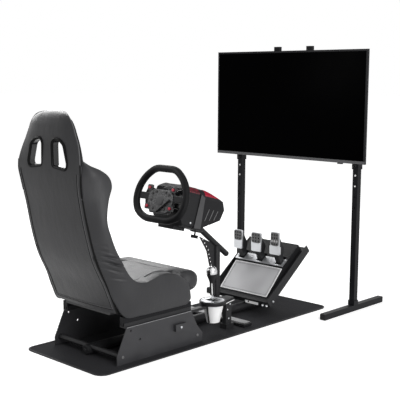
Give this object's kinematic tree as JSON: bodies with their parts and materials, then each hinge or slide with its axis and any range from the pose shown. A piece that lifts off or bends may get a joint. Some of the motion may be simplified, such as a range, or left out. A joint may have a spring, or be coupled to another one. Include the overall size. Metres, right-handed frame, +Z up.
{
  "type": "sim racing cockpit",
  "caption": "Racing seat on a low steel base with a wheel on a slanted arm, pedals, a gear lever and a screen on its own stand.",
  "frame": {"origin": "centre of the floor mat, at the floor", "axes": "+X to the driver's right, +Y forward from the seat to the screen, +Z up"},
  "size_m": [0.97, 1.857, 1.336],
  "materials": {
    "mat_textile": "matte",
    "black_steel": "satin",
    "black_leatherette": "satin",
    "black_plastic": "satin",
    "rim_suede": "matte",
    "hub_plastic": "satin",
    "bright_steel": "brushed",
    "pale_plastic": "satin",
    "chrome_grip": "polished"
  },
  "bodies": {
    "stand_base": {"centre_beam": "black_steel", "floor_mat": "mat_textile", "front_cross_tube": "black_steel", "gate_plate": "bright_steel", "heel_plate": "bright_steel", "left_cross_foot": "black_steel", "left_lower_rail": "black_steel", "left_side_plate": "black_steel", "left_stand_leg": "black_steel", "pedal_box": "black_plastic", "pedal_ledge": "bright_steel", "pedal_tray": "black_steel", "post_gusset": "black_steel", "rear_cross_tube": "black_steel", "right_cross_foot": "black_steel", "right_lower_rail": "black_steel", "right_side_plate": "black_steel", "right_stand_leg": "black_steel", "shifter_arm": "black_steel", "shifter_column": "black_steel", "shifter_cup": "pale_plastic", "shifter_head": "black_plastic", "side_clamp": "black_steel", "tray_strip": "bright_steel", "tray_support": "black_steel", "wheel_arm": "black_steel", "wheel_post": "black_steel"},
    "seat": {"left_upper_rail": "black_steel", "right_upper_rail": "black_steel", "seat_back": "black_leatherette", "left_back_bolster": "black_leatherette", "right_back_bolster": "black_leatherette", "seat_cushion": "black_leatherette", "left_thigh_bolster": "black_leatherette", "right_thigh_bolster": "black_leatherette"},
    "wheel_mount": {"wheel_deck": "black_steel", "base_housing": "black_plastic", "deck_knob": "black_plastic"},
    "wheel": {"wheel_rim": "rim_suede", "hub_plate": "hub_plastic", "wheel_shaft": "bright_steel"},
    "clutch": {"clutch_arm": "black_steel", "clutch_face": "bright_steel"},
    "brake": {"brake_arm": "black_steel", "brake_face": "bright_steel"},
    "throttle": {"throttle_arm": "black_steel", "throttle_face": "bright_steel"},
    "lever_cross": {"shifter_gimbal": "bright_steel"},
    "gear_lever": {"shifter_lever": "bright_steel", "shifter_grip": "chrome_grip"},
    "screen": {"screen_frame": "black_steel", "left_screen_rail": "black_steel", "right_screen_rail": "black_steel", "screen_panel": "black_plastic"}
  },
  "joints": [
    {"name": "wheel_turn", "type": "hinge", "parent": "wheel_mount", "child": "wheel", "pos_m": [0, -0.20007, 0.63627], "axis": [0, -0.9659, 0.2588], "range_deg": [-540, 540]},
    {"name": "wheel_deck_tilt", "type": "hinge", "parent": "stand_base", "child": "wheel_mount", "pos_m": [0, 0.05506, 0.47298], "axis": [1, 0, 0], "range_deg": [-8, 8]},
    {"name": "seat_slide", "type": "slide", "parent": "stand_base", "child": "seat", "axis": [0, 1, 0], "range_m": [-0.08, 0.08]},
    {"name": "screen_height", "type": "slide", "parent": "stand_base", "child": "screen", "axis": [0, 0, 1], "range_m": [-0.1, 0.1]},
    {"name": "clutch_press", "type": "hinge", "parent": "stand_base", "child": "clutch", "pos_m": [-0.122, 0.5306, 0.2428], "axis": [-1, 0, 0], "range_deg": [0, 22], "stiffness_Nm_per_rad": 12, "springref_deg": -14.32},
    {"name": "brake_press", "type": "hinge", "parent": "stand_base", "child": "brake", "pos_m": [0, 0.5306, 0.2428], "axis": [-1, 0, 0], "range_deg": [0, 22], "stiffness_Nm_per_rad": 30, "springref_deg": -14.32},
    {"name": "throttle_press", "type": "hinge", "parent": "stand_base", "child": "throttle", "pos_m": [0.122, 0.5306, 0.2428], "axis": [-1, 0, 0], "range_deg": [0, 22], "stiffness_Nm_per_rad": 12, "springref_deg": -14.32},
    {"name": "lever_sideways", "type": "hinge", "parent": "stand_base", "child": "lever_cross", "pos_m": [0.149, 0.005, 0.088], "axis": [0, 1, 0], "range_deg": [-12, 12]},
    {"name": "lever_fore_aft", "type": "hinge", "parent": "lever_cross", "child": "gear_lever", "pos_m": [0.149, 0.005, 0.088], "axis": [1, 0, 0], "range_deg": [-12, 12]}
  ]
}
